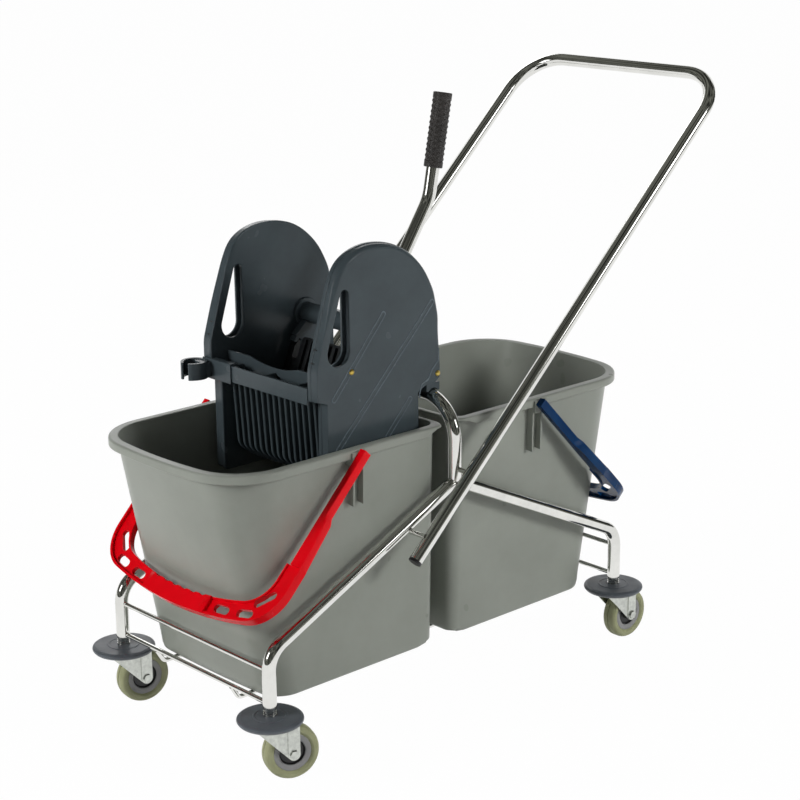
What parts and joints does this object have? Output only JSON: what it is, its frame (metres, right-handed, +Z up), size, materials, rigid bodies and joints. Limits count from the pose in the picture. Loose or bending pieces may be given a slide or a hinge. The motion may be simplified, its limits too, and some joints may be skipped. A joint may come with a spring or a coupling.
{
  "type": "double mop bucket trolley",
  "caption": "Twin bucket mop trolley on a bent tube frame with swivel castors, push handle and a geared press wringer",
  "frame": {"origin": "on the floor, under the middle of the whole outline", "axes": "+Z up, +X to the push handle, +Y to the right cheek with the mop clip"},
  "size_m": [0.9779, 0.44, 0.902],
  "materials": {
    "chromed_steel": "chrome plated steel tube and wire",
    "zinc_plated_steel": "bright zinc plated pressed steel",
    "black_plastic": "moulded black plastic",
    "bumper_plastic": "soft moulded dark grey plastic",
    "wheel_plastic": "moulded grey plastic",
    "grey_tyre": "grey thermoplastic rubber",
    "bucket_plastic": "injection moulded warm grey, semi gloss",
    "red_plastic": "injection moulded red",
    "blue_plastic": "injection moulded dark blue",
    "wringer_plastic": "injection moulded dark slate grey",
    "press_plastic": "injection moulded black",
    "brass": "brass plated screw",
    "grip_rubber": "black rubber"
  },
  "bodies": {
    "frame": {"side_tube_left": "chromed_steel", "side_tube_right": "chromed_steel", "hoop": "chromed_steel", "push_handle": "chromed_steel", "handle_stubs": "chromed_steel", "front_lower_rod": "chromed_steel", "front_upper_rod": "chromed_steel", "rear_lower_rod": "chromed_steel", "rear_upper_rod": "chromed_steel", "cradle_wire_left": "chromed_steel", "cradle_wire_right": "chromed_steel", "handle_end_caps": "black_plastic", "leg_sockets": "black_plastic", "king_pins": "zinc_plated_steel", "bumper_front_left": "bumper_plastic", "bumper_front_right": "bumper_plastic", "bumper_rear_left": "bumper_plastic", "bumper_rear_right": "bumper_plastic"},
    "castor_front_left": {"fork_front_left": "zinc_plated_steel", "axle_front_left": "zinc_plated_steel"},
    "wheel_front_left": {"wheel_centre_front_left": "wheel_plastic", "tyre_front_left": "grey_tyre"},
    "castor_front_right": {"fork_front_right": "zinc_plated_steel", "axle_front_right": "zinc_plated_steel"},
    "wheel_front_right": {"wheel_centre_front_right": "wheel_plastic", "tyre_front_right": "grey_tyre"},
    "castor_rear_left": {"fork_rear_left": "zinc_plated_steel", "axle_rear_left": "zinc_plated_steel"},
    "wheel_rear_left": {"wheel_centre_rear_left": "wheel_plastic", "tyre_rear_left": "grey_tyre"},
    "castor_rear_right": {"fork_rear_right": "zinc_plated_steel", "axle_rear_right": "zinc_plated_steel"},
    "wheel_rear_right": {"wheel_centre_rear_right": "wheel_plastic", "tyre_rear_right": "grey_tyre"},
    "front_bucket_body": {"front_bucket": "bucket_plastic"},
    "rear_bucket_body": {"rear_bucket": "bucket_plastic"},
    "front_bail_body": {"front_bail": "red_plastic"},
    "rear_bail_body": {"rear_bail": "blue_plastic"},
    "wringer": {"cheek_left": "wringer_plastic", "cheek_right": "wringer_plastic", "cheek_screws": "brass", "front_jaw": "wringer_plastic", "front_grille": "wringer_plastic", "press_pin": "zinc_plated_steel", "mop_clip": "wringer_plastic"},
    "lever_body": {"cross_shaft": "wringer_plastic", "lever": "chromed_steel", "lever_grip": "grip_rubber"},
    "press_body": {"press_plate": "press_plastic"}
  },
  "joints": [
    {"name": "swivel_front_left", "type": "hinge", "parent": "frame", "child": "castor_front_left", "pos_m": [-0.431, -0.173, 0.09], "axis": [0, 0, 1], "continuous": true},
    {"name": "roll_front_left", "type": "hinge", "parent": "castor_front_left", "child": "wheel_front_left", "pos_m": [-0.40469, -0.18258, 0.04], "axis": [0.342, 0.9397, 0], "continuous": true},
    {"name": "swivel_front_right", "type": "hinge", "parent": "frame", "child": "castor_front_right", "pos_m": [-0.431, 0.173, 0.09], "axis": [0, 0, 1], "continuous": true},
    {"name": "roll_front_right", "type": "hinge", "parent": "castor_front_right", "child": "wheel_front_right", "pos_m": [-0.40343, 0.16814, 0.04], "axis": [0.1736, 0.9848, 0], "continuous": true},
    {"name": "swivel_rear_left", "type": "hinge", "parent": "frame", "child": "castor_rear_left", "pos_m": [0.279, -0.173, 0.09], "axis": [0, 0, 1], "continuous": true},
    {"name": "roll_rear_left", "type": "hinge", "parent": "castor_rear_left", "child": "wheel_rear_left", "pos_m": [0.307, -0.173, 0.04], "axis": [0, 1, 0], "continuous": true},
    {"name": "swivel_rear_right", "type": "hinge", "parent": "frame", "child": "castor_rear_right", "pos_m": [0.279, 0.173, 0.09], "axis": [0, 0, 1], "continuous": true},
    {"name": "roll_rear_right", "type": "hinge", "parent": "castor_rear_right", "child": "wheel_rear_right", "pos_m": [0.30673, 0.1691, 0.04], "axis": [0.1392, 0.9903, 0], "continuous": true},
    {"name": "front_bucket_lift", "type": "slide", "parent": "frame", "child": "front_bucket_body", "axis": [0, 0, 1], "range_m": [0, 0.075]},
    {"name": "rear_bucket_lift", "type": "slide", "parent": "frame", "child": "rear_bucket_body", "axis": [0.287, 0, 0.9579], "range_m": [0, 0.075]},
    {"name": "front_bail_hinge", "type": "hinge", "parent": "front_bucket_body", "child": "front_bail_body", "pos_m": [-0.259, 0, 0.43], "axis": [0, 1, 0], "range_deg": [0, 120]},
    {"name": "rear_bail_hinge", "type": "hinge", "parent": "rear_bucket_body", "child": "rear_bail_body", "pos_m": [0.107, 0, 0.43], "axis": [0, -1, 0], "range_deg": [0, 100]},
    {"name": "wringer_lift", "type": "slide", "parent": "front_bucket_body", "child": "wringer", "axis": [0, 0, 1], "range_m": [0, 0.12]},
    {"name": "lever_hinge", "type": "hinge", "parent": "wringer", "child": "lever_body", "pos_m": [-0.118, 0, 0.566], "axis": [0, 1, 0], "range_deg": [0, 60], "stiffness_Nm_per_rad": 1, "springref_deg": -34.38},
    {"name": "press_hinge", "type": "hinge", "parent": "wringer", "child": "press_body", "pos_m": [-0.21297, 0, 0.372], "axis": [0, -1, 0], "range_deg": [0, 17.2]}
  ],
  "couplings": [
    {"joint": "press_hinge", "follows": "lever_hinge", "ratio": 0.28571}
  ]
}
